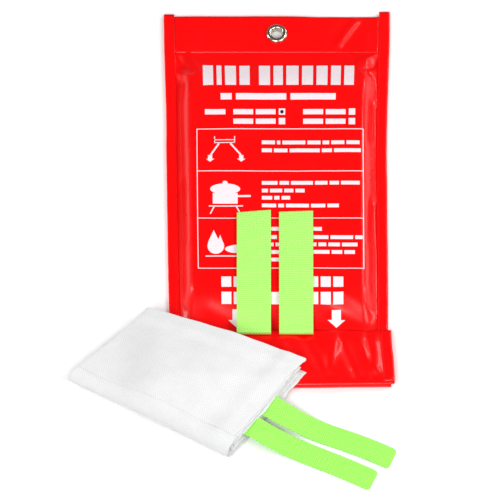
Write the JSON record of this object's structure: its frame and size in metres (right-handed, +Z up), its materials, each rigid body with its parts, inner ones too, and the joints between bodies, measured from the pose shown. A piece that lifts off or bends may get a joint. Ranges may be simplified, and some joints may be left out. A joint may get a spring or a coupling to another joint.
{
  "type": "fire blanket",
  "caption": "Folded white glass-cloth fire blanket with its red vinyl pouch, header eyelet and webbing pull tapes, lying flat.",
  "frame": {"origin": "on the table, under the middle of the whole object's footprint", "axes": "+Z up off the table, +Y from the pouch's folded mouth towards its header, +X to the pouch's right"},
  "size_m": [0.2382, 0.4032, 0.0292],
  "materials": {
    "red_vinyl": "glossy",
    "nickel": "polished",
    "lime_webbing": "matte woven",
    "white_glass_cloth": "fine woven"
  },
  "bodies": {
    "pouch_and_folds": {"back_panel": "red_vinyl", "front_panel": "red_vinyl", "header_band": "red_vinyl", "binding_left": "red_vinyl", "binding_right": "red_vinyl", "mouth_binding_left": "red_vinyl", "mouth_binding_right": "red_vinyl", "mouth_inner_ply": "red_vinyl", "mouth_outer_ply": "red_vinyl", "mouth_inner_fold": "red_vinyl", "mouth_outer_fold": "red_vinyl", "eyelet_front": "nickel", "eyelet_back": "nickel", "left_tape_run": "lime_webbing", "right_tape_run": "lime_webbing", "packed_tape_left": "lime_webbing", "packed_tape_right": "lime_webbing", "packed_leaf_1": "white_glass_cloth", "packed_leaf_2": "white_glass_cloth", "packed_leaf_3": "white_glass_cloth", "packed_leaf_4": "white_glass_cloth", "blanket_base_ply": "white_glass_cloth", "blanket_spine": "white_glass_cloth", "blanket_fold_1": "white_glass_cloth", "blanket_fold_2": "white_glass_cloth", "blanket_fold_3": "white_glass_cloth", "blanket_core_lower": "white_glass_cloth", "blanket_core_upper": "white_glass_cloth", "pull_root_front": "lime_webbing", "pull_root_rear": "lime_webbing"},
    "left_tape_flap": {"left_tape_end": "lime_webbing", "left_tape_hem": "lime_webbing"},
    "right_tape_flap": {"right_tape_end": "lime_webbing", "right_tape_hem": "lime_webbing"},
    "front_pull": {"pull_tape_front": "lime_webbing"},
    "rear_pull": {"pull_tape_rear": "lime_webbing"},
    "cover": {"blanket_cover_ply": "white_glass_cloth"}
  },
  "joints": [
    {"name": "left_tape_fold", "type": "hinge", "parent": "pouch_and_folds", "child": "left_tape_flap", "pos_m": [0.01455, 0.02446, 0.0164], "axis": [-1, 0, 0], "range_deg": [0, 165]},
    {"name": "right_tape_fold", "type": "hinge", "parent": "pouch_and_folds", "child": "right_tape_flap", "pos_m": [0.04555, 0.02446, 0.0164], "axis": [-1, 0, 0], "range_deg": [0, 165]},
    {"name": "front_pull_lift", "type": "hinge", "parent": "pouch_and_folds", "child": "front_pull", "pos_m": [0.01442, -0.15392, 0.01194], "axis": [-0.4163, -0.9092, 0], "range_deg": [0, 60]},
    {"name": "rear_pull_lift", "type": "hinge", "parent": "pouch_and_folds", "child": "rear_pull", "pos_m": [0.02732, -0.13842, 0.01636], "axis": [-0.3891, -0.9212, 0], "range_deg": [0, 60]},
    {"name": "cover_open", "type": "hinge", "parent": "pouch_and_folds", "child": "cover", "pos_m": [-0.0485, -0.1424, 0.0243], "axis": [0.9063, -0.4226, 0], "range_deg": [0, 150]}
  ]
}
